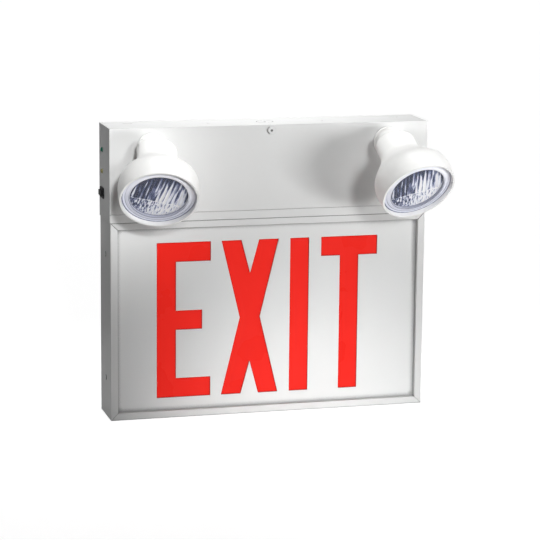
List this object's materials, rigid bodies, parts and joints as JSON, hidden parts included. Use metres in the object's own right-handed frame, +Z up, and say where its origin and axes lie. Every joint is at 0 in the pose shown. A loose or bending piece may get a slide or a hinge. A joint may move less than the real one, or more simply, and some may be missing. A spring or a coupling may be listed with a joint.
{
  "type": "emergency exit light",
  "caption": "Wall-mounted steel exit sign with a battery housing above it, adjustable lamp heads on the housing and a stencilled red-lit panel.",
  "frame": {"origin": "middle of the wall-box hole pattern, on the back face of the battery housing", "axes": "+X along the wall to the viewer's right, +Y into the wall, +Z up; the sign faces -Y"},
  "size_m": [0.4314, 0.1917, 0.377],
  "materials": {
    "painted_steel": "fine powder coat, satin white",
    "panel_white": "smooth white enamel",
    "red_acrylic": "translucent red sheet",
    "battery_case": "moulded black",
    "plated_steel": "zinc plated",
    "circuit_board": "green solder mask",
    "core_steel": "laminated, varnished",
    "winding_tape": "yellow polyester tape",
    "black_plastic": "fine textured black",
    "button_plastic": "glossy black",
    "terminal_plastic": "moulded green",
    "green_light": "tinted clear",
    "amber_light": "tinted clear",
    "light_chip": "white package with phosphor",
    "bushing_plastic": "moulded nylon",
    "white_plastic": "moulded satin white",
    "socket_plastic": "heat-proof cream",
    "mirror_coat": "vacuum metallised",
    "bulb_glass": "clear",
    "clear_lens": "clear fluted polycarbonate"
  },
  "bodies": {
    "cabinet": {"back_box": "painted_steel", "back_plate": "painted_steel", "front_cover": "painted_steel", "cover_screw": "painted_steel", "sign_frame": "painted_steel", "sign_back": "painted_steel", "sign_face": "panel_white", "red_lens": "red_acrylic", "side_screws": "painted_steel", "battery": "battery_case", "battery_terminals": "plated_steel", "battery_strap": "plated_steel", "strap_screws": "plated_steel", "charger_board": "circuit_board", "board_standoffs": "plated_steel", "board_screws": "plated_steel", "transformer_core": "core_steel", "transformer_winding": "winding_tape", "relay": "black_plastic", "capacitors": "black_plastic", "terminal_block": "terminal_plastic", "status_light_green": "green_light", "status_light_amber": "amber_light", "light_rings": "black_plastic", "test_switch_body": "black_plastic", "light_bar_top": "circuit_board", "light_bar_bottom": "circuit_board", "light_chips_top": "light_chip", "light_chips_bottom": "light_chip", "light_bar_screws": "plated_steel", "lead_bushing": "bushing_plastic", "bushing_nut": "bushing_plastic", "joining_screws": "plated_steel", "joining_nuts": "plated_steel"},
    "test_button": {"test_button": "button_plastic"},
    "left_swivel": {"left_swivel_base": "white_plastic", "left_swivel_washer": "plated_steel", "left_swivel_nut": "white_plastic"},
    "left_head": {"left_lamp_shell": "white_plastic", "left_reflector": "mirror_coat", "left_bulb_socket": "socket_plastic", "left_bulb": "bulb_glass", "left_lens": "clear_lens", "left_tilt_bolt": "plated_steel", "left_tilt_nut": "plated_steel", "left_pivot_caps": "white_plastic"},
    "right_swivel": {"right_swivel_base": "white_plastic", "right_swivel_washer": "plated_steel", "right_swivel_nut": "white_plastic"},
    "right_head": {"right_lamp_shell": "white_plastic", "right_reflector": "mirror_coat", "right_bulb_socket": "socket_plastic", "right_bulb": "bulb_glass", "right_lens": "clear_lens", "right_tilt_bolt": "plated_steel", "right_tilt_nut": "plated_steel", "right_pivot_caps": "white_plastic"}
  },
  "joints": [
    {"name": "test_button_press", "type": "slide", "parent": "cabinet", "child": "test_button", "axis": [1, 0, 0], "range_m": [0, 0.002], "stiffness_N_per_m": 400, "springref_m": -0.002},
    {"name": "left_lamp_swivel", "type": "hinge", "parent": "cabinet", "child": "left_swivel", "pos_m": [-0.156, -0.098, 0.0345], "axis": [0, 1, 0], "range_deg": [-150, 150]},
    {"name": "left_lamp_tilt", "type": "hinge", "parent": "left_swivel", "child": "left_head", "pos_m": [-0.156, -0.098, 0.0345], "axis": [0.9763, 0, -0.2164], "range_deg": [-44.5, 30.5]},
    {"name": "right_lamp_swivel", "type": "hinge", "parent": "cabinet", "child": "right_swivel", "pos_m": [0.156, -0.098, 0.0345], "axis": [0, 1, 0], "range_deg": [-150, 150]},
    {"name": "right_lamp_tilt", "type": "hinge", "parent": "right_swivel", "child": "right_head", "pos_m": [0.156, -0.098, 0.0345], "axis": [0.9744, 0, 0.225], "range_deg": [-45.5, 29.5]}
  ]
}
